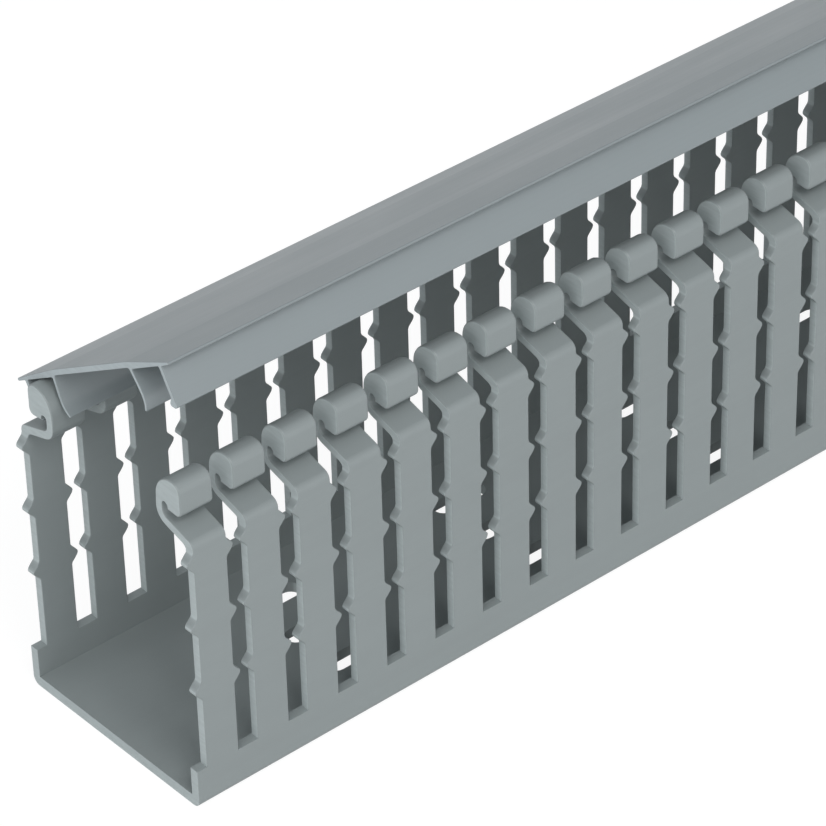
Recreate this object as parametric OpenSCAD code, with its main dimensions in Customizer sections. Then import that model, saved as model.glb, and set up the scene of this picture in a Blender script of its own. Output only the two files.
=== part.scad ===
// Slotted wire duct with its clip-on cover, hooked on one row of finger heads and swung half open.
// X runs along the duct, Y across it and Z up. The origin is the middle of the underside.
// A wall's profile is drawn from its outer face: first number inward, second number up.

/* [Duct] */
// Length of the duct, and of its cover
duct_l = 1000; // [200:12.5:1000]
// Width over the outer faces of the walls
duct_w = 52.4; // [45:0.1:90]
// Height of the shoulder, where the walls turn inward
shoulder_z = 61.7; // [50:0.1:70]
// Thickness of the walls
wall_t = 2.1; // [1.6:0.1:2.4]
// Thickness of the base
base_t = 2.4; // [1.6:0.1:3]
// Radius of the lower outside edges
edge_r = 1.8; // [0.5:0.1:2.4]

/* [Fingers] */
// Distance from slot to slot
slot_pitch = 12.5; // [11:0.1:16]
// Width of a slot
slot_w = 4.74; // [4.2:0.02:5.4]
// Height of the slot floors above the underside
slot_z = 9.1; // [6:0.1:15]
// Gap left between the tips of facing nubs
nub_gap = 1.58; // [1:0.02:2.4]
// Height of a nub where it leaves the finger
nub_h = 4.4; // [3.4:0.1:6]
// Height of the lowest nubs above the slot floors
nub_low = 18.4; // [12:0.1:24]
// Distance from nub to nub up a finger
nub_pitch = 14.97; // [10:0.01:18]

/* [Finger heads] */
// Rise of the shoulder, in degrees
shoulder_a = 16.5; // [8:0.5:22]
// Radius of the shoulder's outer corner
shoulder_r = 1.8; // [1:0.1:3]
// Radius of the fillet under the shoulder
fillet_r = 1.6; // [0.5:0.1:3]
// Thickness of the shoulder and the neck
neck_t = 1.9; // [1.4:0.1:2.2]
// Radius inside the bend from shoulder to neck
bend_r = 1.6; // [1:0.1:2.4]
// Radius of the head
head_r = 3.8; // [3.4:0.1:4.2]
// Distance from the wall's outer face to the middle of the head
head_in = 6.75; // [6:0.05:8]
// Height of the middle of the head above the middle of the bend
head_up = 4.5; // [4:0.1:5]
// Lean of the head's flank, in degrees
flank_a = 12; // [5:1:20]
// Radius of the lip at the head's lower outside corner
lip_r = 1.15; // [0.8:0.05:1.6]
// Width of the groove between head and neck
groove_w = 1.6; // [1:0.1:2]
// Depth of the groove's top below the middle of the head
groove_down = 2.5; // [1.5:0.1:3]

/* [Base slots] */
// Length of a fixing slot
fix_l = 13.3; // [8:0.1:20]
// Width of a fixing slot
fix_w = 4.8; // [3:0.1:6]
// Distance between the rows of fixing slots
fix_row = 12.2; // [9:0.1:15]
// Distance between fixing slots along the duct
fix_pitch = 50; // [25:1:100]
// Distance from the duct's end to its first fixing slot
fix_first = 50; // [20:1:90]

/* [Cover] */
// Angle of the cover from closed, in degrees
cover_a = 30.3; // [0:0.1:35]
// Distance that the cover is slid along the duct
cover_slide = 4.6; // [0:0.1:20]
// Clearance round the heads
cover_gap = 0.2; // [0.1:0.05:0.4]
// Overhang of each edge past the outer face of its leg
cover_lip = 2.4; // [1:0.1:4]
// Thickness of the cover's panel
panel_t = 1.6; // [1.2:0.1:2.2]
// Rise of the sloping margins
crown = 1.3; // [0.6:0.1:2]
// Width of a sloping margin
margin_w = 14.5; // [13:0.1:20]
// Thickness of the cover at its edges
edge_t = 0.6; // [0.4:0.1:1]
// Thickness of the outer legs
outer_t = 1.3; // [1:0.1:1.6]
// Thickness of the inner legs
inner_t = 1.1; // [0.8:0.1:1.4]
// Length of the legs below the panel
leg_l = 8.3; // [7.5:0.1:8.6]
// Depth of the bead on an outer leg
bead_d = 0.9; // [0.4:0.1:1]
// Height of the bead
bead_h = 1.2; // [0.8:0.1:1.6]
// Sideways curl of an inner leg's tip
curl = 0.6; // [0.2:0.1:1]

/* [Hidden] */
$fn = 64;
duct_color = "#8f9796";
cover_color = "#a3acab";
over = 5; // how far a cutter runs past what it cuts
proud = 0.01; // a rounding stands this much above a slope that it meets, so that no sliver is left

// Slots and nubs
slots = floor(duct_l / slot_pitch);
slot_x0 = -slots * slot_pitch / 2;
nub_out = (slot_w - nub_gap) / 2;
nub_r = (nub_h * nub_h / 4 + nub_out * nub_out) / (2 * nub_out);
nub_levels = [for (i = [0:2]) slot_z + nub_low + i * nub_pitch];

// Shoulder, neck and head, from the wall's outer face
neck_in = head_in + head_r;
neck_out = neck_in - neck_t;
bend_x = neck_out - bend_r;
bend_at = [bend_x, line_z(bend_x, bend_r)];
bend_dir = [sin(shoulder_a), -cos(shoulder_a)];
corner_at = [shoulder_r, line_z(shoulder_r, proud - shoulder_r)];
under_z = line_z(wall_t, -neck_t);
fillet_at = [wall_t + fillet_r, line_z(wall_t + fillet_r, -neck_t - fillet_r)];
head_z = bend_at[1] + head_up;

// Fixing slots
fixings = 1 + floor((duct_l - 2 * fix_first) / fix_pitch);

// Cover, from the middle of a head: first number outward, second number up
head_y = duct_w / 2 - head_in;
under = head_r + cover_gap;
inner_face = -head_r - cover_gap;
outer_face = head_r + cover_gap + bead_d;
round_edge = head_y + outer_face + outer_t + cover_lip - edge_t / 2;
leg_foot = under - leg_l;
foot_r = outer_t / 2 - 0.05;
root = under + edge_t / 2; // legs grow from inside the panel

// Height of the line that lies d above the shoulder's top and parallel to it, at x from the outer face
function line_z(x, d) = shoulder_z + x * tan(shoulder_a) + d / cos(shoulder_a);

module slot_2d(pad_l, pad_r) {
    half = slot_w / 2;
    top = head_z + head_r + over;
    difference() {
        translate([-half - pad_l, slot_z]) square([slot_w + pad_l + pad_r, top - slot_z]);
        for (z = nub_levels) {
            if (pad_r == 0) translate([0, z]) nub_2d();
            if (pad_l == 0) translate([0, z]) mirror([1, 0]) nub_2d();
        }
    }
}

// A nub is a low round ridge that narrows the slot, so that wires stay in
module nub_2d() {
    translate([slot_w / 2 - nub_out + nub_r, 0]) circle(r = nub_r);
}

// Wall up to its shoulder, and the shoulder's slope as far as the corner's rounding needs
module wall_2d() {
    polygon([[0, edge_r], [0, corner_at[1]], corner_at, [wall_t, line_z(wall_t, -neck_t / 2)], [wall_t, edge_r]]);
}

module corner_2d() {
    translate(corner_at) circle(r = shoulder_r);
}

// Drawn about the middle of the bend, with the slope as its first axis
module shoulder_2d() {
    inner_l = (bend_x - shoulder_r) / cos(shoulder_a) + (bend_r + shoulder_r) * tan(shoulder_a);
    translate(bend_at) rotate(shoulder_a) translate([-inner_l, -bend_r - neck_t]) square([inner_l, neck_t]);
}

// What fills the corner under the shoulder
module fillet_2d() {
    difference() {
        polygon([[wall_t / 2, fillet_at[1]], [wall_t / 2, under_z], fillet_at - (fillet_r + neck_t / 2) * bend_dir,
                 fillet_at - (fillet_r + proud) * bend_dir, fillet_at]);
        translate(fillet_at) circle(r = fillet_r);
    }
}

module bend_2d() {
    reach = 2 * (bend_r + neck_t);
    translate(bend_at) intersection() {
        difference() {
            circle(r = bend_r + neck_t);
            circle(r = bend_r);
        }
        translate([-reach, -reach]) square([2 * reach, reach]);
        rotate(shoulder_a) translate([0, -reach]) square([reach, 2 * reach]);
    }
}

module neck_2d() {
    translate(bend_at) translate([bend_r, 0]) square([neck_t, head_up]);
}

// Round head, with the groove that parts it from the neck
module head_2d() {
    translate(bend_at) difference() {
        translate([bend_r + neck_t - head_r, head_up]) circle(r = head_r);
        groove_2d();
    }
}

// Leaning flank and foot of the head, which meet in its round lip
module flank_2d() {
    translate(bend_at) difference() {
        at_lip() translate([proud - lip_r, 0]) square([head_r, head_r - lip_r]);
        groove_2d();
    }
}

module foot_2d() {
    translate(bend_at) difference() {
        at_lip() translate([0, proud - lip_r]) square([head_r - lip_r, head_r]);
        groove_2d();
    }
}

module lip_2d() {
    translate(bend_at) at_lip() circle(r = lip_r);
}

// From the middle of the bend to the middle of the lip
module at_lip() {
    translate([bend_r + neck_t - head_r, head_up]) rotate(flank_a)
        translate([lip_r - head_r, lip_r - head_r]) children();
}

module groove_2d() {
    top = head_up - groove_down - groove_w / 2;
    translate([bend_r - groove_w / 2 + proud, top]) circle(d = groove_w);
    translate([bend_r - groove_w + proud, -groove_w]) square([groove_w - proud, top + groove_w]);
}

module base_2d() {
    difference() {
        translate([-duct_w / 2, 0]) square([duct_w, base_t]);
        for (side = [0, 1]) mirror([side, 0]) translate([-duct_w / 2, 0]) edge_cut_2d();
    }
}

// What the rounding of a lower outside edge takes away
module edge_cut_2d() {
    difference() {
        square(edge_r);
        translate([edge_r, edge_r]) circle(r = edge_r);
    }
}

module fixing_2d() {
    square([fix_l - fix_w, fix_w], center = true);
    for (end = [-1, 1]) translate([end * (fix_l - fix_w) / 2, 0]) circle(d = fix_w);
}

// Stands each section across the duct and draws it out along X
module along_duct() {
    for (i = [0:$children - 1])
        rotate([90, 0, 90]) linear_extrude(height = duct_l, center = true) children(i);
}

module channel() {
    along_duct() base_2d();
    for (side = [0, 1]) mirror([0, side, 0]) translate([0, -duct_w / 2, 0]) along_duct() {
        wall_2d();
        corner_2d();
        shoulder_2d();
        fillet_2d();
        bend_2d();
        neck_2d();
        head_2d();
        flank_2d();
        foot_2d();
        lip_2d();
    }
}

module slot_cutters() {
    past_end = duct_l / 2 + slot_x0 + over;
    for (i = [0:slots]) {
        translate([slot_x0 + i * slot_pitch, 0, 0]) rotate([90, 0, 0])
            linear_extrude(height = duct_w + 2 * over, center = true)
                slot_2d(i == 0 ? past_end : 0, i == slots ? past_end : 0);
    }
}

module fixing_cutters() {
    for (i = [0:fixings - 1], row = [-1:1]) {
        translate([fix_first - duct_l / 2 + i * fix_pitch, row * fix_row, -over])
            linear_extrude(height = base_t + 2 * over) fixing_2d();
    }
}

module duct_body() {
    color(duct_color) difference() {
        channel();
        slot_cutters();
        fixing_cutters();
    }
}

// Panel with its two sloping margins
module panel_2d() {
    side = half_panel();
    far_side = [for (i = [len(side) - 1:-1:0]) [-side[i][0], side[i][1]]];
    polygon(concat(side, far_side));
}

// Corners of the panel's outline on one side, from underneath to the top
function half_panel() =
    let (top = under + edge_t + crown)
    [[head_y + inner_face - 2 * inner_t, top - panel_t], [head_y + inner_face, under], [round_edge, under],
     [round_edge, under + edge_t], [round_edge + edge_t / 2 - margin_w, top]];

module panel_edge_2d() {
    translate([round_edge, under + edge_t / 2]) circle(d = edge_t);
}

module outer_leg_2d() {
    translate([head_y + outer_face, leg_foot + foot_r]) square([outer_t, root - leg_foot - foot_r]);
}

module outer_foot_2d() {
    translate([head_y + outer_face + outer_t - foot_r, leg_foot + foot_r]) circle(r = foot_r);
}

// Bead along the foot of an outer leg, which keeps the cover on the heads
module bead_2d() {
    translate([head_y + outer_face, leg_foot])
        polygon([[outer_t - foot_r, 0], [outer_t - foot_r, foot_r + bead_h], [0, bead_h + bead_d],
                 [-bead_d, bead_h], [-bead_d, bead_h / 2], [0, 0]]);
}

// Inner leg, whose tip curls away from the neck so that it slips in beside it
module inner_leg_2d() {
    knee = leg_foot + 0.3 * leg_l;
    translate([head_y + inner_face, 0])
        polygon([[0, root], [0, knee], [-curl, leg_foot], [-curl - inner_t, leg_foot], [-inner_t, knee],
                 [-inner_t, root]]);
}

module closed_cover() {
    along_duct() panel_2d();
    for (side = [0, 1]) mirror([0, side, 0]) along_duct() {
        panel_edge_2d();
        outer_leg_2d();
        outer_foot_2d();
        bead_2d();
        inner_leg_2d();
    }
}

module cover() {
    color(cover_color)
        translate([cover_slide, head_y, head_z]) rotate([-cover_a, 0, 0]) translate([0, -head_y, 0])
            closed_cover();
}

duct_body();
cover();
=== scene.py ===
"""Slotted wire duct with its clip-on cover, hooked on one row of finger heads and swung half open.

Sizes are in millimetres, as a maker of such duct gives them, and become metres where a mesh is made.
X runs along the duct, Y across it and Z up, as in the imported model.
"""

from __future__ import annotations

import logging
import math
from dataclasses import dataclass
from typing import Callable, Iterable, Sequence

import bmesh
import bpy
from mathutils import Euler, Matrix, Vector

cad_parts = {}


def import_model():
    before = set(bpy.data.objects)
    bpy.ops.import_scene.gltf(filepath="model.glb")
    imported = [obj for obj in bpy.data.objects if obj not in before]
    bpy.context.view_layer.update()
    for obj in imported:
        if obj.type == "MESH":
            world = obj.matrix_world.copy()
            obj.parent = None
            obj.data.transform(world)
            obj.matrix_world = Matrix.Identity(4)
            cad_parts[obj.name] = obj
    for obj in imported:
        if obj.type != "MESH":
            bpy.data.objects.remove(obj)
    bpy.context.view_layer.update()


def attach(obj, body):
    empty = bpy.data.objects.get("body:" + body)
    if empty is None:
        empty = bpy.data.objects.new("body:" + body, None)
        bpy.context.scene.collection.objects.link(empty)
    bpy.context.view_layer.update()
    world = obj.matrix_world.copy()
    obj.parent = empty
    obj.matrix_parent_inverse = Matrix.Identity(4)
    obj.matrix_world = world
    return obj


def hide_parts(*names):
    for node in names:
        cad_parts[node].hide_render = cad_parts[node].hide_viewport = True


LOG = logging.getLogger("wire_duct")
MM = 0.001
Point = tuple[float, float]
Place = tuple[float, float, float]
MERGE = 2e-6


# --------------------------------------------------------------------------------------
# Plane geometry
# --------------------------------------------------------------------------------------


def arc(centre: Point, radius: float, start: float, stop: float, steps: int) -> list[Point]:
    """Points on an arc, both ends included.

    Args:
        centre: Middle of the arc.
        radius: Its radius.
        start: Angle of the first point, in degrees.
        stop: Angle of the last point, in degrees.
        steps: Number of straight steps between them.

    Returns:
        The points in order.
    """
    turn = [math.radians(start + (stop - start) * i / steps) for i in range(steps + 1)]
    return [(centre[0] + radius * math.cos(a), centre[1] + radius * math.sin(a)) for a in turn]


def oval(centre: Point, reach: Point, start: float, stop: float, steps: int) -> list[Point]:
    """Points on an oval, both ends included.

    Args:
        centre: Middle of the oval.
        reach: Half its width and half its height.
        start: Angle of the first point, in degrees.
        stop: Angle of the last point, in degrees.
        steps: Number of straight steps between them.

    Returns:
        The points in order.
    """
    unit = arc((0.0, 0.0), 1.0, start, stop, steps)
    return [(centre[0] + reach[0] * u, centre[1] + reach[1] * v) for u, v in unit]


def without_repeats(points: Iterable[Point], least: float = 1e-4) -> list[Point]:
    """The points, less each that lies on the one before it.

    Args:
        points: A chain of points.
        least: Distance under which two points count as one.

    Returns:
        The thinned chain.
    """
    kept: list[Point] = []
    for p in points:
        if not kept or math.dist(kept[-1], p) > least:
            kept.append(p)
    return kept


def inset_normals(chain: Sequence[Point], closed: bool) -> list[Point]:
    """For each point, the step that moves it one unit to the right of the way the chain runs.

    Args:
        chain: The points of an outline, material on the right.
        closed: Whether the last point joins the first.

    Returns:
        One step per point, lengthened at corners so that the sides stay parallel.
    """
    count = len(chain)
    out: list[Point] = []
    for i, here in enumerate(chain):
        before = chain[i - 1] if i or closed else None
        after = chain[(i + 1) % count] if i < count - 1 or closed else None
        sides: list[Point] = []
        for a, b in ((before, here), (here, after)):
            if a is not None and b is not None:
                length = math.dist(a, b)
                sides.append(((b[1] - a[1]) / length, -(b[0] - a[0]) / length))
        first, last = sides[0], sides[-1]
        share = 1 + first[0] * last[0] + first[1] * last[1]
        out.append(((first[0] + last[0]) / share, (first[1] + last[1]) / share))
    return out


# --------------------------------------------------------------------------------------
# Meshes
# --------------------------------------------------------------------------------------


class MeshMaker:
    """Collects faces whose corners are given as places, and joins equal places into one vertex."""

    def __init__(self) -> None:
        """Starts empty."""
        self.places: dict[tuple[int, int, int], int] = {}
        self.vertices: list[Place] = []
        self.faces: list[tuple[int, ...]] = []

    def vertex(self, place: Sequence[float]) -> int:
        """The number of the vertex at a place, made if it is new.

        Args:
            place: X, Y and Z in millimetres.

        Returns:
            The vertex's number.
        """
        key = tuple(round(c * 1e5) for c in place)
        if key not in self.places:
            self.places[key] = len(self.vertices)
            self.vertices.append(tuple(c * MM for c in place))
        return self.places[key]

    def face(self, *corners: Sequence[float]) -> None:
        """Adds a face, unless its corners fall together.

        Args:
            corners: The places of its corners, in order.
        """
        ring: list[int] = []
        for corner in corners:
            number = self.vertex(corner)
            if not ring or number != ring[-1]:
                ring.append(number)
        if len(ring) > 1 and ring[0] == ring[-1]:
            ring.pop()
        if len(ring) > 2:
            self.faces.append(tuple(ring))

    def strip(self, one: Sequence[Place], other: Sequence[Place], closed: bool = False) -> None:
        """Joins two rows of places by four-sided faces.

        Args:
            one: The first row.
            other: The second row, as long as the first.
            closed: Whether each row's end joins its start.
        """
        count = len(one)
        for i in range(count if closed else count - 1):
            j = (i + 1) % count
            self.face(one[i], one[j], other[j], other[i])

    def object(self, name: str) -> bpy.types.Object:
        """Turns what was collected into an object.

        Args:
            name: Name of the object.

        Returns:
            The new object, linked to the scene.
        """
        mesh = bpy.data.meshes.new(name)
        mesh.from_pydata(self.vertices, [], self.faces)
        mesh.update()
        made = bpy.data.objects.new(name, mesh)
        bpy.context.scene.collection.objects.link(made)
        return made


def close_up(obj: bpy.types.Object, sharp: float) -> None:
    """Joins doubled vertices, points the faces outwards and marks the sharp edges.

    Args:
        obj: The object to finish.
        sharp: Edges that turn by more degrees than this stay sharp.
    """
    work = bmesh.new()
    work.from_mesh(obj.data)
    bmesh.ops.remove_doubles(work, verts=work.verts, dist=MERGE)
    bmesh.ops.dissolve_degenerate(work, edges=work.edges, dist=1e-7)
    bmesh.ops.recalc_face_normals(work, faces=work.faces)
    open_edges = sum(1 for edge in work.edges if len(edge.link_faces) != 2)
    if open_edges:
        LOG.warning("%s has %d edges that don't join two faces", obj.name, open_edges)
    work.to_mesh(obj.data)
    work.free()
    for polygon in obj.data.polygons:
        polygon.use_smooth = True
    obj.data.set_sharp_from_angle(angle=math.radians(sharp))
    obj.data.update()


def weigh_normals(obj: bpy.types.Object) -> None:
    """Lets the large faces set the shading where they meet small ones, so that flat faces look flat.

    Args:
        obj: The object to shade.
    """
    modifier = obj.modifiers.new("weighted", "WEIGHTED_NORMAL")
    modifier.mode = "FACE_AREA"
    modifier.weight = 80
    modifier.keep_sharp = True
    bpy.context.view_layer.update()
    graph = bpy.context.evaluated_depsgraph_get()
    weighted = obj.evaluated_get(graph)
    mesh = bpy.data.meshes.new_from_object(weighted, preserve_all_data_layers=True, depsgraph=graph)
    obj.modifiers.remove(modifier)
    old, obj.data = obj.data, mesh
    bpy.data.meshes.remove(old)


# --------------------------------------------------------------------------------------
# Shader maths
# --------------------------------------------------------------------------------------


class Value:
    """A number that a material works out, to be used in plain expressions."""

    def __init__(self, tree: "Surface", socket: bpy.types.NodeSocket) -> None:
        """Wraps a socket.

        Args:
            tree: The material that the socket is in.
            socket: The output to wrap.
        """
        self.tree = tree
        self.socket = socket

    def _math(self, operation: str, first: object, second: object) -> "Value":
        """Adds a Math node.

        Args:
            operation: Its operation.
            first: Its first number or value.
            second: Its second number or value.

        Returns:
            The result.
        """
        return self.tree.node("ShaderNodeMath", {"operation": operation}, {0: first, 1: second})

    def __add__(self, other: object) -> "Value":
        """Sum."""
        return self._math("ADD", self, other)

    __radd__ = __add__

    def __sub__(self, other: object) -> "Value":
        """Difference."""
        return self._math("SUBTRACT", self, other)

    def __rsub__(self, other: object) -> "Value":
        """Difference, with the value last."""
        return self._math("SUBTRACT", other, self)

    def __mul__(self, other: object) -> "Value":
        """Product."""
        return self._math("MULTIPLY", self, other)

    __rmul__ = __mul__

    def size(self) -> "Value":
        """The value without its sign."""
        return self._math("ABSOLUTE", self, 0.0)


class Surface:
    """A material's node tree, with one method that adds any node."""

    def __init__(self, name: str) -> None:
        """Makes an empty node material.

        Args:
            name: Name of the material.
        """
        self.material = bpy.data.materials.new(name)
        self.material.use_nodes = True
        self.tree = self.material.node_tree
        self.tree.nodes.clear()

    def node(self, kind: str, settings: dict[str, object] | None = None,
             inputs: dict[object, object] | None = None, output: object = 0) -> Value:
        """Adds a node.

        Args:
            kind: Type of the node.
            settings: Its properties, which are set first.
            inputs: What goes into its sockets, by name or number: a number, a tuple or a Value.
            output: Name or number of the output that is returned.

        Returns:
            The chosen output.
        """
        made = self.tree.nodes.new(kind)
        for key, setting in (settings or {}).items():
            setattr(made, key, setting)
        for key, given in (inputs or {}).items():
            if isinstance(given, Value):
                self.tree.links.new(given.socket, made.inputs[key])
            else:
                made.inputs[key].default_value = given
        return Value(self, made.outputs[output])

    def parts(self, vector: Value) -> tuple[Value, Value, Value]:
        """A vector's three numbers.

        Args:
            vector: The vector.

        Returns:
            Its X, Y and Z.
        """
        split = self.node("ShaderNodeSeparateXYZ", {}, {0: vector})
        outs = split.socket.node.outputs
        return Value(self, outs[0]), Value(self, outs[1]), Value(self, outs[2])

    def noise(self, where: Value, stretch: Place, detail: float) -> Value:
        """Soft noise from 0 to 1.

        Args:
            where: Coordinates to read.
            stretch: How often it changes per metre along X, Y and Z.
            detail: Number of finer layers.

        Returns:
            The noise.
        """
        scaled = self.node("ShaderNodeMapping", {"vector_type": "POINT"}, {"Vector": where, "Scale": stretch})
        return self.node("ShaderNodeTexNoise", {"noise_dimensions": "3D"},
                         {"Vector": scaled, "Scale": 1.0, "Detail": detail, "Roughness": 0.55})

    def between(self, share: Value, low: object, high: object) -> Value:
        """A colour between two.

        Args:
            share: 0 for the first colour, 1 for the second.
            low: The first colour.
            high: The second colour.

        Returns:
            The mixed colour.
        """
        return self.node("ShaderNodeMix", {"data_type": "RGBA", "clamp_factor": True},
                         {0: share, 6: low, 7: high}, 2)

    def finish(self, shader: Value) -> bpy.types.Material:
        """Links the shader to the output.

        Args:
            shader: The surface shader.

        Returns:
            The finished material.
        """
        end = self.tree.nodes.new("ShaderNodeOutputMaterial")
        self.tree.links.new(shader.socket, end.inputs["Surface"])
        return self.material


@dataclass(frozen=True)
class ExtrudedPlastic:
    """Grey rigid plastic, with the fine lines that a die draws along it, and faces that turn along X painted
    paler: partly the paler sawn and punched edges, partly painted light from the side.
    """

    name: str
    colour: tuple[float, float, float]
    roughness: float = 0.42
    cloud: float = 0.07
    streak: float = 0.05
    broad_streak: float = 0.08
    contrast: float = 3.0
    tone_range: float = 0.14
    # How much paler faces along X are painted: partly the paler cut surface, partly painted light from the
    # side.
    pale_cut_and_painted_side_light: float = 0.55
    cut_rough: float = 0.2
    cut_from: float = 0.75
    cut_full: float = 0.97
    line_rough: float = 0.16
    cloud_rough: float = 0.14
    line_depth: float = 0.012
    grain_depth: float = 0.004
    saw_depth: float = 0.03
    line_grid: Place = (4.0, 2200.0, 2200.0)
    broad_grid: Place = (1.5, 260.0, 260.0)
    cloud_grid: Place = (35.0, 60.0, 60.0)
    grain_grid: Place = (2600.0, 2600.0, 2600.0)
    saw_grid: Place = (300.0, 240.0, 1500.0)

    def shade(self, factor: float) -> tuple[float, float, float, float]:
        """The colour made lighter or darker.

        Args:
            factor: What each channel is multiplied by.

        Returns:
            Colour with its alpha.
        """
        return tuple(min(1.0, c * factor) for c in self.colour) + (1.0,)

    def material(self) -> bpy.types.Material:
        """Builds the material.

        Returns:
            The finished material.
        """
        s = Surface(self.name)
        place = s.node("ShaderNodeTexCoord", {}, {}, "Object")
        normal = s.node("ShaderNodeNewGeometry", {}, {}, "Normal")
        along = s.parts(normal)[0].size()
        # Mask of faces that turn along X, the sawn ends and punched slot sides; their colour is partly the
        # paler cut surface, partly painted light from the side.
        cut_face_and_painted_light_mask = s.node("ShaderNodeMapRange", {"interpolation_type": "SMOOTHSTEP"},
                     {"Value": along, "From Min": self.cut_from, "From Max": self.cut_full})
        lines = s.noise(place, self.line_grid, 3.0)
        broad = s.noise(place, self.broad_grid, 2.0)
        clouds = s.noise(place, self.cloud_grid, 3.0)
        grain = s.noise(place, self.grain_grid, 2.0)
        tone = (lines - 0.5) * self.streak + (broad - 0.5) * self.broad_streak + (clouds - 0.5) * self.cloud
        tone = tone * self.contrast + 0.5
        body = s.between(tone, self.shade(1.0 - self.tone_range), self.shade(1.0 + self.tone_range))
        saw = s.noise(place, self.saw_grid, 2.0)
        # Paler colour on those faces: partly the cut surface's own paleness, partly painted light from the
        # side.
        pale_cut_and_painted_light_colour = s.between(saw, self.shade(1.0 + self.pale_cut_and_painted_side_light * 0.7), self.shade(1.0 + self.pale_cut_and_painted_side_light * 1.5))
        colour = s.between(cut_face_and_painted_light_mask, body, pale_cut_and_painted_light_colour)
        rough = (lines - 0.5) * self.line_rough + (clouds - 0.5) * self.cloud_rough + self.roughness
        rough = rough + cut_face_and_painted_light_mask * self.cut_rough
        drawn = (lines * 0.6 + broad * 0.4) * (1 - cut_face_and_painted_light_mask)
        height = drawn * self.line_depth + grain * self.grain_depth + saw * cut_face_and_painted_light_mask * self.saw_depth
        bump = s.node("ShaderNodeBump", {}, {"Strength": 0.55, "Distance": 0.001, "Height": height})
        shader = s.node("ShaderNodeBsdfPrincipled", {},
                        {"Base Color": colour, "Roughness": rough, "Normal": bump, "IOR": 1.52})
        return s.finish(shader)


@dataclass(frozen=True)
class WhiteGround:
    """A white ground that the camera sees as nearly white, with the object's soft shadow on it."""

    name: str = "white_ground"
    shadow_kept: float = 0.14
    brightness: float = 1.06

    def material(self) -> bpy.types.Material:
        """Builds the material.

        Returns:
            The finished material.
        """
        s = Surface(self.name)
        plain = s.node("ShaderNodeBsdfDiffuse", {}, {"Color": (0.9, 0.9, 0.9, 1.0)})
        glow = s.node("ShaderNodeEmission", {}, {"Color": (1.0, 1.0, 1.0, 1.0), "Strength": self.brightness})
        seen = s.node("ShaderNodeLightPath", {}, {}, "Is Camera Ray")
        share = seen * (1.0 - self.shadow_kept)
        return s.finish(s.node("ShaderNodeMixShader", {}, {0: share, 1: plain, 2: glow}))


# --------------------------------------------------------------------------------------
# Geometry Nodes
# --------------------------------------------------------------------------------------


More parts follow.
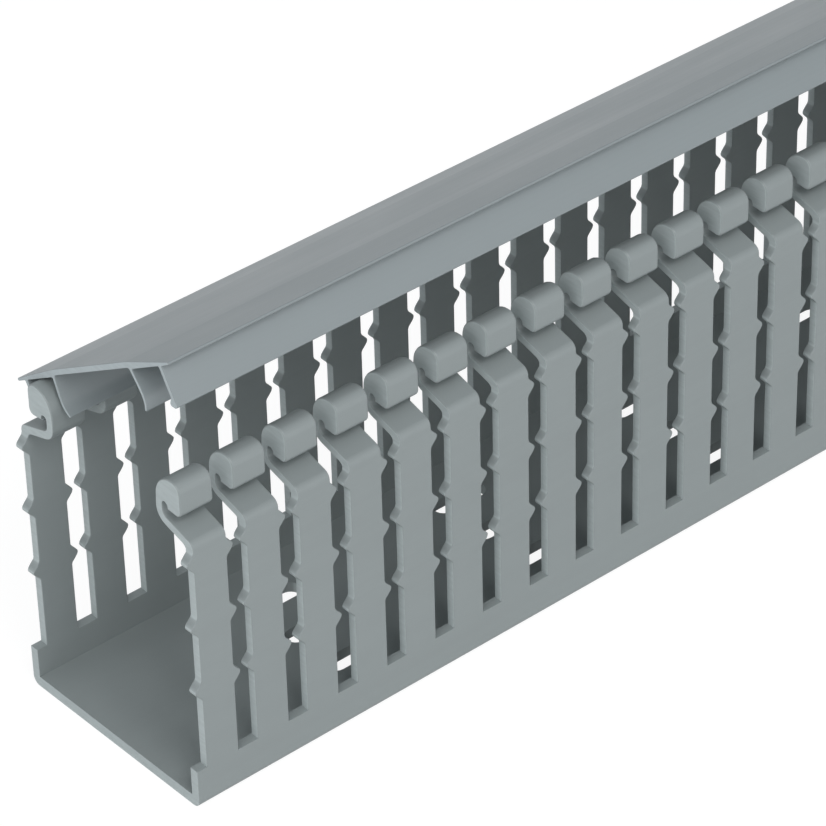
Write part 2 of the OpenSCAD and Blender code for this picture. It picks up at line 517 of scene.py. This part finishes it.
class Pattern:
    """A Geometry Nodes tree on an empty mesh, with named inputs for its sizes."""

    def __init__(self, name: str) -> None:
        """Starts a tree that has only its output.

        Args:
            name: Name of the tree and of the object that carries it.
        """
        self.name = name
        self.tree = bpy.data.node_groups.new(name, "GeometryNodeTree")
        self.tree.interface.new_socket("Geometry", in_out="OUTPUT", socket_type="NodeSocketGeometry")
        self.values: dict[str, object] = {}
        self.source: bpy.types.Node | None = None
        self.end = self.tree.nodes.new("NodeGroupOutput")

    def declare(self, name: str, kind: str, value: object) -> None:
        """Adds a named input.

        Args:
            name: Its name.
            kind: Its socket type, such as NodeSocketFloat.
            value: What the finished piece uses.
        """
        self.tree.interface.new_socket(name, in_out="INPUT", socket_type=kind)
        self.values[name] = value

    def given(self, name: str) -> bpy.types.NodeSocket:
        """The socket that carries a named input.

        Args:
            name: Its name.

        Returns:
            The output of the tree's input node.
        """
        if self.source is None:
            self.source = self.tree.nodes.new("NodeGroupInput")
        return self.source.outputs[name]

    def node(self, kind: str, settings: dict[str, object], inputs: dict[object, object],
             output: object = 0) -> bpy.types.NodeSocket:
        """Adds a node.

        Args:
            kind: Type of the node.
            settings: Its properties.
            inputs: Its inputs, by name or number: a number, a vector, a socket or a list of sockets.
            output: Name or number of the output that is returned.

        Returns:
            The chosen output.
        """
        made = self.tree.nodes.new(kind)
        for key, setting in settings.items():
            setattr(made, key, setting)
        for key, given in inputs.items():
            for one in given if isinstance(given, list) else [given]:
                if isinstance(one, bpy.types.NodeSocket):
                    self.tree.links.new(one, made.inputs[key])
                else:
                    made.inputs[key].default_value = one
        return made.outputs[output]

    def product(self, a: object, b: object) -> bpy.types.NodeSocket:
        """Two numbers multiplied.

        Args:
            a: The first number or socket.
            b: The second number or socket.

        Returns:
            Their product.
        """
        return self.node("ShaderNodeMath", {"operation": "MULTIPLY"}, {0: a, 1: b})

    def row(self, piece: str, start: object, step: object, count: object,
            turn: float) -> bpy.types.NodeSocket:
        """A row of copies of one piece along X.

        Args:
            piece: Name of the input that holds the piece.
            start: X of the first copy.
            step: Distance from copy to copy.
            count: Number of copies.
            turn: How far each copy is turned about Z, in radians.

        Returns:
            The row, as instances.
        """
        first = self.node("ShaderNodeCombineXYZ", {}, {0: start})
        offset = self.node("ShaderNodeCombineXYZ", {}, {0: step})
        line = self.node("GeometryNodeMeshLine", {"mode": "OFFSET"},
                         {"Count": count, "Start Location": first, "Offset": offset})
        shape = self.node("GeometryNodeObjectInfo", {"transform_space": "ORIGINAL"},
                          {"Object": self.given(piece), "As Instance": True}, "Geometry")
        return self.node("GeometryNodeInstanceOnPoints", {},
                         {"Points": line, "Instance": shape, "Rotation": (0.0, 0.0, turn)})

    def make(self, shapes: list[bpy.types.NodeSocket], material: bpy.types.Material) -> bpy.types.Object:
        """Ends the tree, runs it and turns its result into a plain mesh.

        Args:
            shapes: What the tree has built.
            material: Material of the result.

        Returns:
            The plain object.
        """
        joined = self.node("GeometryNodeJoinGeometry", {}, {0: shapes})
        real = self.node("GeometryNodeRealizeInstances", {}, {0: joined})
        merged = self.node("GeometryNodeMergeByDistance", {}, {0: real, "Distance": MERGE})
        dressed = self.node("GeometryNodeSetMaterial", {}, {0: merged, "Material": material})
        self.tree.links.new(dressed, self.end.inputs[0])
        carrier = bpy.data.objects.new(self.name, bpy.data.meshes.new(self.name))
        bpy.context.scene.collection.objects.link(carrier)
        modifier = carrier.modifiers.new(self.name, "NODES")
        modifier.node_group = self.tree
        for item in self.tree.interface.items_tree:
            if item.in_out == "INPUT" and item.name in self.values:
                modifier[item.identifier] = self.values[item.name]
        bpy.context.view_layer.update()
        graph = bpy.context.evaluated_depsgraph_get()
        mesh = bpy.data.meshes.new_from_object(carrier.evaluated_get(graph), depsgraph=graph)
        carrier.modifiers.remove(modifier)
        blank, carrier.data = carrier.data, mesh
        bpy.data.meshes.remove(blank)
        mesh.name = self.name
        return carrier


# --------------------------------------------------------------------------------------
# The duct
# --------------------------------------------------------------------------------------


@dataclass
class Duct:
    """The channel: a slotted base and two walls of fingers with hooked heads."""

    finish: bpy.types.Material
    length: float = 1000.0
    width: float = 52.4
    shoulder_z: float = 61.7
    wall: float = 2.1
    base: float = 2.4
    edge_r: float = 1.8
    pitch: float = 12.5
    slot: float = 4.74
    slot_z: float = 9.1
    nubs: int = 3
    nub_gap: float = 1.58
    nub_low: float = 18.4
    nub_pitch: float = 14.97
    nub_shape: tuple[Point, ...] = ((2.4, 0.0), (1.8, 0.22), (1.05, 0.93), (0.42, 1.45))
    shoulder_a: float = 16.5
    shoulder_r: float = 1.8
    fillet_r: float = 1.6
    neck: float = 1.9
    bend_r: float = 1.6
    head_r: float = 3.8
    head_in: float = 6.75
    head_up: float = 4.5
    flank_in: float = 3.2
    crown_r: float = 2.2
    crown_up: float = 1.04
    back_up: float = 5.24
    back_down: float = 2.0
    lip_r: float = 1.25
    lip_down: float = 2.85
    lip_flat: float = 0.35
    groove: float = 1.6
    groove_down: float = 2.5
    neck_reach: float = 4.95
    edge_break: float = 0.2
    head_break: float = 0.4
    head_zone: float = 4.4
    groove_zone: float = 1.2
    fix_l: float = 13.3
    fix_w: float = 4.8
    fix_row: float = 12.2
    fix_pitch: float = 50.0

    def line_z(self, x: float, d: float) -> float:
        """Height of the line d above the shoulder's top and parallel to it.

        Args:
            x: Distance from the wall's outer face.
            d: Distance above the shoulder's top.

        Returns:
            The height above the underside.
        """
        a = math.radians(self.shoulder_a)
        return self.shoulder_z + x * math.tan(a) + d / math.cos(a)

    @property
    def bend_at(self) -> Point:
        """Middle of the bend from shoulder to neck."""
        x = self.head_in + self.head_r - self.neck - self.bend_r
        return (x, self.line_z(x, self.bend_r))

    @property
    def head_at(self) -> Point:
        """Middle of a head."""
        return (self.head_in, self.bend_at[1] + self.head_up)

    @property
    def half_finger(self) -> float:
        """Half the width of a finger between its nubs."""
        return (self.pitch - self.slot) / 2

    def levels(self) -> list[Point]:
        """Heights up a finger's side, with how far its side stands out there.

        Returns:
            Pairs of height and reach, from the slot's floor up to the top nub.
        """
        tip = (self.slot - self.nub_gap) / 2
        down = list(reversed(self.nub_shape))
        rise = [(-t, h) for t, h in self.nub_shape] + [(0.0, tip)] + down
        out = [(self.slot_z, 0.0)]
        for i in range(self.nubs):
            middle = self.slot_z + self.nub_low + i * self.nub_pitch
            out += [(middle + t, h) for t, h in rise]
        return out

    def fillet_at(self) -> Point:
        """Middle of the fillet under the shoulder."""
        x = self.wall + self.fillet_r
        return (x, self.line_z(x, -self.neck - self.fillet_r))

    def inner_face(self, z: float) -> float:
        """Distance of the wall's inner face from its outer face at a height, in the fillet too."""
        centre = self.fillet_at()
        if z <= centre[1]:
            return self.wall
        return centre[0] - math.sqrt(self.fillet_r ** 2 - (z - centre[1]) ** 2)

    def crest(self, low: float) -> list[Point]:
        """Outline of a finger above its top nub, from the outer face over the head to the inner face.

        Args:
            low: Height at which it starts and ends.

        Returns:
            The chain of points.
        """
        a = self.shoulder_a
        bend, head = self.bend_at, self.head_at
        corner = (self.shoulder_r, self.line_z(self.shoulder_r, -self.shoulder_r))
        face = bend[0] + self.bend_r
        lip = (self.flank_in + self.lip_r, head[1] - self.lip_down)
        crown = (self.flank_in + self.crown_r, head[1] + self.crown_up)
        back = (face + self.neck - self.neck_reach, head[1] - self.back_down)
        fillet = self.fillet_at()
        stop = math.degrees(math.asin((low - fillet[1]) / self.fillet_r))
        chain = [(0.0, low)]
        chain += arc(corner, self.shoulder_r, 180, 90 + a, 4)
        chain += arc(bend, self.bend_r, a - 90, 0, 5)
        chain += arc(self.groove_at, self.groove / 2, 0, 180, 6)
        chain += [(face - self.groove, lip[1] - self.lip_r + self.lip_flat)]
        chain += arc(lip, self.lip_r, -84, -180, 4)
        chain += arc(crown, self.crown_r, 180, 78, 6)
        chain += oval(back, (self.neck_reach, self.back_up), 80, 0, 8)
        chain += arc(bend, self.bend_r + self.neck, 0, a - 90, 6)
        chain += arc(fillet, self.fillet_r, 90 + a, 180 - stop, 3)
        return without_repeats(chain)

    @property
    def groove_at(self) -> Point:
        """Middle of the round top of the groove between head and neck."""
        radius = self.groove / 2
        return (self.bend_at[0] + self.bend_r - radius, self.head_at[1] - self.groove_down - radius)

    def rounding(self, point: Point) -> float:
        """Radius of the broken edge at a point of the finger's outline."""
        on_head = point[1] > self.head_at[1] - self.head_zone
        in_groove = math.dist(point, self.groove_at) <= self.groove_zone
        return self.head_break if on_head and not in_groove else self.edge_break

    def foot(self) -> list[Point]:
        """Outline of the outer face under the slots, round the lower edge to the wall's inner face."""
        corner = arc((self.edge_r, self.edge_r), self.edge_r, 270, 180, 6)
        return [(0.0, self.slot_z)] + list(reversed(corner)) + [(self.wall, 0.0)]

    def finger(self) -> bpy.types.Object:
        """One finger of the near wall, with the wall under it and half a slot to each side.

        Returns:
            The object, whose finger stands at the middle of X.
        """
        m = MeshMaker()
        y0 = -self.width / 2
        levels = self.levels()
        outer = [(0.0, z) for z, _ in levels]
        inner = [(self.inner_face(z), z) for z, _ in levels]
        crest = self.crest(levels[-1][0])
        chain = outer[:-1] + crest + list(reversed(inner[:-1]))
        reach = [h for _, h in levels[:-1]] + [0.0] * len(crest) + [h for _, h in reversed(levels[:-1])]
        inward = inset_normals(chain, closed=False)
        low_count = len(levels) - 1
        for hand in (-1, 1):
            loops: list[list[Place]] = []
            for angle in (0, 45, 90):
                loop: list[Place] = []
                for i, ((u, z), h, step) in enumerate(zip(chain, reach, inward)):
                    r = self.rounding((u, z))
                    on_wall = i < low_count or i >= len(chain) - low_count
                    turn = math.radians(90 if on_wall and angle else angle)
                    d, e = r * (1 - math.cos(turn)), r * (1 - math.sin(turn))
                    flat = 0.0 if i in (0, len(chain) - 1) else step[1]
                    loop.append((hand * (self.half_finger + h - e), y0 + u + d * step[0], z + d * flat))
                loops.append(loop)
            m.strip(loops[0], loops[1])
            m.strip(loops[1], loops[2])
            side = loops[2]
            m.strip(side[:low_count + 1], list(reversed(side))[:low_count + 1])
            m.face(*side[low_count:len(side) - low_count])
            rim = loops[0]
            x = hand * self.pitch / 2
            m.face((x, y0, self.slot_z), rim[0], side[0], side[-1], rim[-1], (x, y0 + self.wall, self.slot_z))
            if hand < 0:
                left = rim
            else:
                m.strip(left, rim)
        foot = self.foot()
        rows = [[(s * self.pitch / 2, y0 + u, z) for u, z in foot] for s in (-1, 1)]
        m.face(rows[0][0], left[0], rim[0], rows[1][0], rows[1][1], rows[0][1])
        m.strip(rows[0][1:], rows[1][1:])
        high, low = (y0 + self.wall, self.slot_z), (y0 + self.wall, self.base)
        m.face((-self.pitch / 2, *high), left[-1], rim[-1], (self.pitch / 2, *high), (self.pitch / 2, *low),
               (-self.pitch / 2, *low))
        return m.object("finger")

    def tile_joints(self) -> list[float]:
        """Places across the base where the edges of its tiles have a vertex."""
        return [i * self.fix_row / 2 for i in range(-2, 3)]

    def base_tile(self, length: float, slotted: bool) -> bpy.types.Object:
        """A length of the base between the walls.

        Args:
            length: Its length.
            slotted: Whether it has its three fixing slots.

        Returns:
            The object, about the middle of X.
        """
        m = MeshMaker()
        half, edge = length / 2, self.width / 2 - self.wall
        marks = [-half + i * self.pitch for i in range(round(length / self.pitch) + 1)]
        if not slotted:
            across = self.tile_joints()
            for z in (0.0, self.base):
                m.face(*[(x, -edge, z) for x in marks], *[(half, y, z) for y in across],
                       *[(x, edge, z) for x in reversed(marks)], *[(-half, y, z) for y in reversed(across)])
            return m.object("plain_base")
        borders = [-edge, -self.fix_row / 2, self.fix_row / 2, edge]
        straight = (self.fix_l - self.fix_w) / 2
        radius = self.fix_w / 2
        for row in range(3):
            y = (row - 1) * self.fix_row
            upper = arc((-straight, y), radius, 180, 90, 6) + arc((straight, y), radius, 90, 0, 6)
            lower = [(x, 2 * y - v) for x, v in upper]
            for z in (0.0, self.base):
                for curve, border in ((upper, borders[row + 1]), (lower, borders[row])):
                    along = marks if abs(border) == edge else [marks[0], marks[-1]]
                    m.face((-half, y, z), *[(x, v, z) for x, v in curve], (half, y, z),
                           *[(x, border, z) for x in reversed(along)])
            ring = upper + list(reversed(lower))[1:-1]
            m.strip([(x, v, 0.0) for x, v in ring], [(x, v, self.base) for x, v in ring], closed=True)
        return m.object("slotted_base")

    def end_cap(self) -> bpy.types.Object:
        """The sawn end face of the base and of the walls' feet, at the middle of X."""
        m = MeshMaker()
        foot = self.foot() + [(self.wall, self.base), (self.wall, self.slot_z)]
        for s in (-1, 1):
            m.face(*[(0.0, s * (self.width / 2 - u), z) for u, z in foot])
        edge = self.width / 2 - self.wall
        across = self.tile_joints()
        m.face((0, -edge, 0), *[(0, y, 0) for y in across], (0, edge, 0),
               (0, edge, self.base), *[(0, y, self.base) for y in reversed(across)], (0, -edge, self.base))
        return m.object("end_cap")

    def build(self) -> bpy.types.Object:
        """Builds the whole duct.

        Returns:
            The finished piece.
        """
        fixings = round(self.length / self.fix_pitch) - 1
        end = self.fix_pitch / 2
        parts = {
            "Finger": self.finger(),
            "Slotted base": self.base_tile(self.fix_pitch, True),
            "Plain base": self.base_tile(end, False),
            "End cap": self.end_cap(),
        }
        p = Pattern("duct_channel")
        for name, part in parts.items():
            p.declare(name, "NodeSocketObject", part)
        p.declare("Length", "NodeSocketFloat", self.length * MM)
        p.declare("Pitch", "NodeSocketFloat", self.pitch * MM)
        p.declare("Fixing pitch", "NodeSocketFloat", self.fix_pitch * MM)
        p.declare("Fingers", "NodeSocketInt", round(self.length / self.pitch))
        p.declare("Fixings", "NodeSocketInt", fixings)
        length = p.given("Length")
        pitch = p.given("Pitch")
        half = p.product(length, -0.5)
        first = p.node("ShaderNodeMath", {"operation": "MULTIPLY_ADD"}, {0: pitch, 1: 0.5, 2: half})
        back = p.product(first, -1.0)
        bay = p.given("Fixing pitch")
        first_bay = p.node("ShaderNodeMath", {"operation": "ADD"}, {0: half, 1: bay})
        first_end = p.node("ShaderNodeMath", {"operation": "MULTIPLY_ADD"}, {0: bay, 1: 0.25, 2: half})
        apart = p.product(first_end, -2.0)
        whole = p.product(half, -2.0)
        shapes = [
            p.row("Finger", first, pitch, p.given("Fingers"), 0.0),
            p.row("Finger", back, p.product(pitch, -1.0), p.given("Fingers"), math.pi),
            p.row("Slotted base", first_bay, bay, p.given("Fixings"), 0.0),
            p.row("Plain base", first_end, apart, 2, 0.0),
            p.row("End cap", half, whole, 2, 0.0),
        ]
        made = p.make(shapes, self.finish)
        for part in parts.values():
            bpy.data.objects.remove(part)
        close_up(made, 50)
        weigh_normals(made)
        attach(made, "duct")
        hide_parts("duct_body")
        return made


# --------------------------------------------------------------------------------------
# The cover
# --------------------------------------------------------------------------------------


@dataclass
class Cover:
    """The clip-on cover: a panel with sloping margins, two outer and two inner legs."""

    finish: bpy.types.Material
    pivot: Point
    length: float = 1000.0
    angle: float = 30.3
    slide: float = 4.6
    head_r: float = 3.8
    gap: float = 0.2
    lip: float = 2.65
    panel: float = 1.25
    crown: float = 0.95
    margin: float = 14.5
    margin_bend: float = 0.5
    edge: float = 0.6
    edge_break: float = 0.08
    outer: float = 0.95
    inner: float = 0.78
    leg: float = 8.3
    bead: float = 1.0
    bead_h: float = 1.2
    bow: tuple[Point, ...] = ((-0.42, 2.2), (-0.2, 0.9), (-0.07, -0.3), (-0.02, -1.3), (-0.12, -2.2),
                              (-0.4, -3.1), (-0.8, -3.8))
    taper: tuple[float, ...] = (0.0, 0.0, 0.0, 0.0, 0.02, 0.06, 0.1, 0.14, 0.2)

    @property
    def under(self) -> float:
        """Height of the margins' underside above the middle of the heads."""
        return self.head_r + self.gap

    @property
    def foot(self) -> float:
        """Height of the legs' feet above the middle of the heads."""
        return self.under - self.leg

    def outer_leg(self, face: float) -> list[Point]:
        """Outline of an outer leg, from its root on the outside round its foot and bead to the inside.

        Args:
            face: Distance of its inner face from the cover's middle.

        Returns:
            The chain.
        """
        under, foot = self.under, self.foot
        back = face + self.outer
        tip = face - self.bead
        foot_r = self.outer / 2 - 0.05
        bead_top = foot + self.bead_h
        chain = [(back + 0.3, under), (back + 0.08, under - 0.08), (back, under - 0.3)]
        chain += arc((back - foot_r, foot + foot_r), foot_r, 0, -90, 5)
        middle = foot + self.bead_h / 2
        chain += [(face, foot), (tip + 0.12, middle - 0.1), (tip, middle + 0.1)]
        chain += [(tip, bead_top - 0.15), (tip + 0.15, bead_top + 0.1), (face, bead_top + self.bead)]
        chain += [(face, under - 0.35), (face - 0.1, under - 0.1), (face - 0.35, under)]
        return chain

    def inner_leg(self, face: float, ceiling: float) -> list[Point]:
        """Outline of an inner leg, which bows and curls inwards and gets thinner towards its foot.

        Args:
            face: Distance of the leg from the cover's middle, where it clears the heads.
            ceiling: Height of the panel's underside.

        Returns:
            The chain.
        """
        under, foot = self.under, self.foot
        bow = [(-0.62, under - 0.3), *self.bow, (-1.05, foot + 0.12)]
        chain = [(face - 0.2, under), (face - 0.45, under - 0.08)]
        chain += [(face + v, h) for v, h in bow]
        chain += [(face - 1.2, foot), (face - 0.75 - self.inner, foot + 0.06)]
        back = face - self.inner
        chain += [(back + v + t, h + 0.3 * t) for (v, h), t in reversed(list(zip(bow, self.taper)))]
        chain += [(back - 0.8, under + 0.1), (back - 1.3, ceiling)]
        return chain

    def half_outline(self) -> list[Point]:
        """Outline on one side, from the middle of the top round to the middle of the underside.

        Returns:
            The chain, across and up from the middle of a closed cover at the heads' height.
        """
        head = self.pivot[0]
        top = self.under + self.edge + self.crown
        leg_face = head + self.under + self.bead
        rim = leg_face + self.outer + self.lip
        edge_r = self.edge / 2
        bend = rim - self.margin
        chain = [(0.0, top), (bend - self.margin_bend, top), (bend + self.margin_bend, top - 0.03)]
        chain += arc((rim - edge_r, self.under + edge_r), edge_r, 84, -90, 8)
        chain += self.outer_leg(leg_face)
        chain += self.inner_leg(head - self.under, top - self.panel)
        chain += [(0.0, top - self.panel)]
        return chain

    def build(self) -> bpy.types.Object:
        """Builds the cover in the place where it is hooked and raised.

        Returns:
            The finished piece.
        """
        half = self.half_outline()
        mirrored = [(-v, h) for v, h in reversed(half[1:-1])]
        ring = half + mirrored
        m = MeshMaker()
        c, s = math.cos(math.radians(self.angle)), math.sin(math.radians(self.angle))
        inward = inset_normals(ring, closed=True)

        def place(x: float, inset: float) -> list[Place]:
            """The outline at one place along the cover, turned about the heads it is hooked on."""
            out = []
            for (v, h), step in zip(ring, inward):
                v, h = v + inset * step[0] - self.pivot[0], h + inset * step[1]
                out.append((x + self.slide, self.pivot[0] + c * v + s * h, self.pivot[1] - s * v + c * h))
            return out

        end = self.length / 2
        loops = [place(-end, self.edge_break), place(self.edge_break - end, 0.0)]
        loops += [place(end - self.edge_break, 0.0), place(end, self.edge_break)]
        for a, b in zip(loops, loops[1:]):
            m.strip(a, b, closed=True)
        m.face(*loops[0])
        m.face(*loops[-1])
        made = m.object("clip_cover")
        made.data.materials.append(self.finish)
        close_up(made, 32)
        weigh_normals(made)
        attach(made, "cover")
        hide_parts("cover")
        return made


# --------------------------------------------------------------------------------------
# The studio
# --------------------------------------------------------------------------------------


@dataclass
class Studio:
    """Camera, lamps and ground."""

    azimuth: float = -40.10
    elevation: float = 35.445
    roll: float = -1.599
    place: Place = (-866.63, -527.81, 532.40)
    lens: float = 186.3
    world_level: float = 0.5
    world_tint: tuple[float, float, float] = (0.93, 0.97, 1.0)
    ground_reach: float = 6000.0

    def camera(self) -> None:
        """Creates the camera at the viewing angle."""
        data = bpy.data.cameras.new("camera")
        data.sensor_width = 36.0
        data.lens = self.lens
        data.clip_start = 0.01
        data.clip_end = 50.0
        data.dof.use_dof = False
        camera = bpy.data.objects.new("camera", data)
        tilt = Euler((math.radians(90 - self.elevation), 0.0, math.radians(self.azimuth)), "XYZ").to_matrix()
        turn = Matrix.Rotation(math.radians(self.roll), 3, "Z")
        camera.rotation_euler = (tilt @ turn).to_euler("XYZ")
        camera.location = Vector(self.place) * MM
        bpy.context.scene.collection.objects.link(camera)
        bpy.context.scene.camera = camera

    def lamp(self, name: str, place: Place, aim: Place, size: float, power: float) -> None:
        """Adds a soft square lamp.

        Args:
            name: Its name.
            place: Where it hangs, in metres.
            aim: What it points at, in metres.
            size: Its side, in metres.
            power: Its power, in watts.
        """
        data = bpy.data.lights.new(name, "AREA")
        data.shape = "SQUARE"
        data.size = size
        data.energy = power
        lamp = bpy.data.objects.new(name, data)
        lamp.location = place
        lamp.rotation_euler = (Vector(aim) - Vector(place)).to_track_quat("-Z", "Y").to_euler()
        bpy.context.scene.collection.objects.link(lamp)

    def ground(self) -> None:
        """Lays the white ground under the duct."""
        m = MeshMaker()
        reach = self.ground_reach
        m.face((-reach, -reach, 0.0), (reach, -reach, 0.0), (reach, reach, 0.0), (-reach, reach, 0.0))
        ground = m.object("ground")
        ground.data.materials.append(WhiteGround().material())

    def sky(self) -> None:
        """Sets the even light from all round, which the camera sees as white."""
        world = bpy.data.worlds.new("studio")
        bpy.context.scene.world = world
        world.use_nodes = True
        nodes, links = world.node_tree.nodes, world.node_tree.links
        nodes.clear()
        soft = nodes.new("ShaderNodeBackground")
        soft.inputs[0].default_value = (*self.world_tint, 1.0)
        soft.inputs[1].default_value = self.world_level
        white = nodes.new("ShaderNodeBackground")
        white.inputs[1].default_value = 1.0
        white.inputs[0].default_value = (1.0, 1.0, 1.0, 1.0)
        path, mix = nodes.new("ShaderNodeLightPath"), nodes.new("ShaderNodeMixShader")
        out = nodes.new("ShaderNodeOutputWorld")
        links.new(path.outputs["Is Camera Ray"], mix.inputs[0])
        links.new(soft.outputs[0], mix.inputs[1])
        links.new(white.outputs[0], mix.inputs[2])
        links.new(mix.outputs[0], out.inputs[0])

    def build(self) -> None:
        """Sets up the whole studio."""
        bpy.context.scene.view_settings.view_transform = "Standard"
        self.ground()
        self.sky()
        self.lamp("key", place=(-1.0, -1.9, 2.4), aim=(-0.3, 0.0, 0.05), size=1.2, power=26.0)
        self.lamp("side", place=(-2.3, -0.9, 1.5), aim=(-0.3, 0.0, 0.05), size=1.4, power=18.0)
        self.lamp("fill", place=(0.2, -2.4, 0.9), aim=(-0.2, 0.0, 0.05), size=1.6, power=8.0)
        self.camera()


def main() -> None:
    """Builds the pieces in order and reports each one."""
    logging.basicConfig(level=logging.INFO, format="%(name)s: %(message)s")
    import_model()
    duct_plastic = ExtrudedPlastic("duct_plastic", colour=(0.262, 0.292, 0.293)).material()
    cover_plastic = ExtrudedPlastic("cover_plastic", colour=(0.252, 0.283, 0.292), roughness=0.34).material()
    duct = Duct(finish=duct_plastic)
    head = duct.head_at
    pieces: list[tuple[str, Callable[[], bpy.types.Object]]] = [
        ("duct", duct.build),
        ("cover", Cover(finish=cover_plastic, pivot=(duct.width / 2 - head[0], head[1])).build),
    ]
    for name, build in pieces:
        made = build()
        made.data.calc_loop_triangles()
        LOG.info("%s: %s, %d triangles", name, made.name, len(made.data.loop_triangles))
    Studio().build()


if __name__ == "__main__":
    main()
